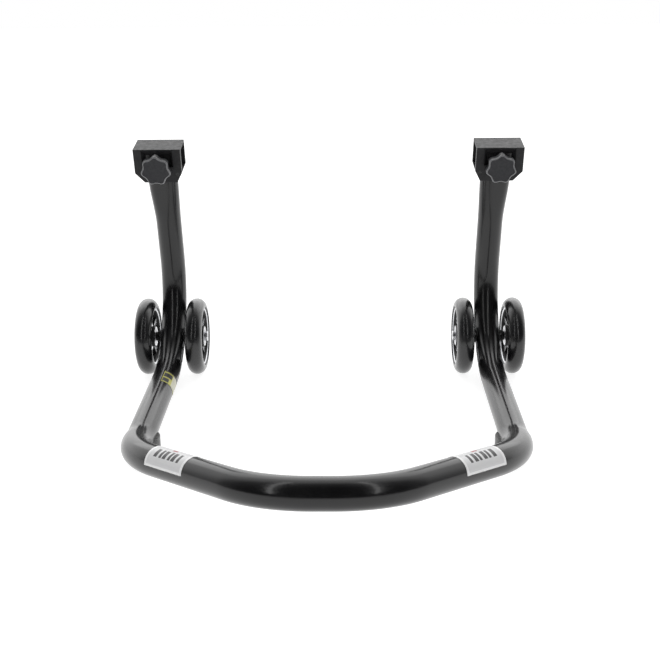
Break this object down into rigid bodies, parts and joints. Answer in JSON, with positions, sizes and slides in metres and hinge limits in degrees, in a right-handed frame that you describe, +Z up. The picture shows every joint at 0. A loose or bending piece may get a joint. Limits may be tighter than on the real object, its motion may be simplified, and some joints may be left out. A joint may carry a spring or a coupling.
{
  "type": "paddock stand",
  "caption": "Bent-tube rear paddock stand with a raised lever handle, paired rolling wheels, rubber feet and clamped square receivers on two upright arms.",
  "frame": {"origin": "on the floor, in the middle of the stand's overall length and width", "axes": "+X to the right seen from the handle, +Y away from the handle towards the wheels, +Z up"},
  "size_m": [0.5564, 0.5677, 0.3352],
  "materials": {
    "frame_paint": "smooth high-gloss black powder coat",
    "black_steel": "satin black coat on small welded steel parts",
    "zinc_steel": "bright zinc-plated steel",
    "bearing_steel": "ground steel with dark seals",
    "hub_alloy": "machined and clear-coated alloy",
    "tyre_tread": "smooth glossy polyurethane, black",
    "case_plastic": "fine-grained dark grey glass-filled nylon",
    "knob_plastic": "satin dark grey plastic",
    "foot_rubber": "smooth black rubber",
    "label_film": "pale grey vinyl with a darker printed pattern",
    "notice_film": "pale yellow vinyl with black bars"
  },
  "bodies": {
    "frame": {"handle_tube": "frame_paint", "left_side_tube": "frame_paint", "right_side_tube": "frame_paint", "left_arm_end": "frame_paint", "right_arm_end": "frame_paint", "left_axle_sleeve": "frame_paint", "right_axle_sleeve": "frame_paint", "left_axle_pin": "zinc_steel", "right_axle_pin": "zinc_steel", "left_axle_screw": "zinc_steel", "right_axle_screw": "zinc_steel", "axle_bushes": "black_steel", "axle_washers": "zinc_steel", "bearing_spacers": "black_steel", "left_receiver_sleeve": "frame_paint", "right_receiver_sleeve": "frame_paint", "left_weld_nut": "zinc_steel", "right_weld_nut": "zinc_steel", "left_housing": "case_plastic", "right_housing": "case_plastic", "left_back_plate": "case_plastic", "right_back_plate": "case_plastic", "housing_screws": "zinc_steel", "left_foot": "foot_rubber", "right_foot": "foot_rubber", "foot_screws": "zinc_steel", "foot_inserts": "zinc_steel", "left_shoulder_label": "label_film", "right_shoulder_label": "label_film", "rail_label": "notice_film"},
    "left_outer_wheel": {"left_outer_tyre": "tyre_tread", "left_outer_hub": "hub_alloy", "left_outer_bearings": "bearing_steel"},
    "left_inner_wheel": {"left_inner_tyre": "tyre_tread", "left_inner_hub": "hub_alloy", "left_inner_bearings": "bearing_steel"},
    "right_inner_wheel": {"right_inner_tyre": "tyre_tread", "right_inner_hub": "hub_alloy", "right_inner_bearings": "bearing_steel"},
    "right_outer_wheel": {"right_outer_tyre": "tyre_tread", "right_outer_hub": "hub_alloy", "right_outer_bearings": "bearing_steel"},
    "left_pad": {"left_pressure_pad": "zinc_steel"},
    "left_knob": {"left_clamp_stud": "zinc_steel", "left_star_knob": "knob_plastic"},
    "right_pad": {"right_pressure_pad": "zinc_steel"},
    "right_knob": {"right_clamp_stud": "zinc_steel", "right_star_knob": "knob_plastic"}
  },
  "joints": [
    {"name": "left_outer_wheel_spin", "type": "hinge", "parent": "frame", "child": "left_outer_wheel", "pos_m": [-0.26328, 0.22744, 0.055], "axis": [1, 0, 0], "continuous": true},
    {"name": "left_inner_wheel_spin", "type": "hinge", "parent": "frame", "child": "left_inner_wheel", "pos_m": [-0.19228, 0.22744, 0.055], "axis": [1, 0, 0], "continuous": true},
    {"name": "right_inner_wheel_spin", "type": "hinge", "parent": "frame", "child": "right_inner_wheel", "pos_m": [0.19228, 0.22744, 0.055], "axis": [1, 0, 0], "continuous": true},
    {"name": "right_outer_wheel_spin", "type": "hinge", "parent": "frame", "child": "right_outer_wheel", "pos_m": [0.26328, 0.22744, 0.055], "axis": [1, 0, 0], "continuous": true},
    {"name": "left_clamp_slide", "type": "slide", "parent": "frame", "child": "left_pad", "axis": [0, -0.9863, -0.1651], "range_m": [-0.005, 0]},
    {"name": "left_knob_turn", "type": "hinge", "parent": "left_pad", "child": "left_knob", "pos_m": [-0.23178, 0.22755, 0.30662], "axis": [0, -0.9863, -0.1651], "range_deg": [-1440, 0]},
    {"name": "right_clamp_slide", "type": "slide", "parent": "frame", "child": "right_pad", "axis": [0, -0.9863, -0.1651], "range_m": [-0.005, 0]},
    {"name": "right_knob_turn", "type": "hinge", "parent": "right_pad", "child": "right_knob", "pos_m": [0.23178, 0.22755, 0.30662], "axis": [0, -0.9863, -0.1651], "range_deg": [-1440, 0]}
  ],
  "couplings": [
    {"joint": "left_clamp_slide", "follows": "left_knob_turn", "m_per_rad": 0.00019894},
    {"joint": "right_clamp_slide", "follows": "right_knob_turn", "m_per_rad": 0.00019894}
  ]
}
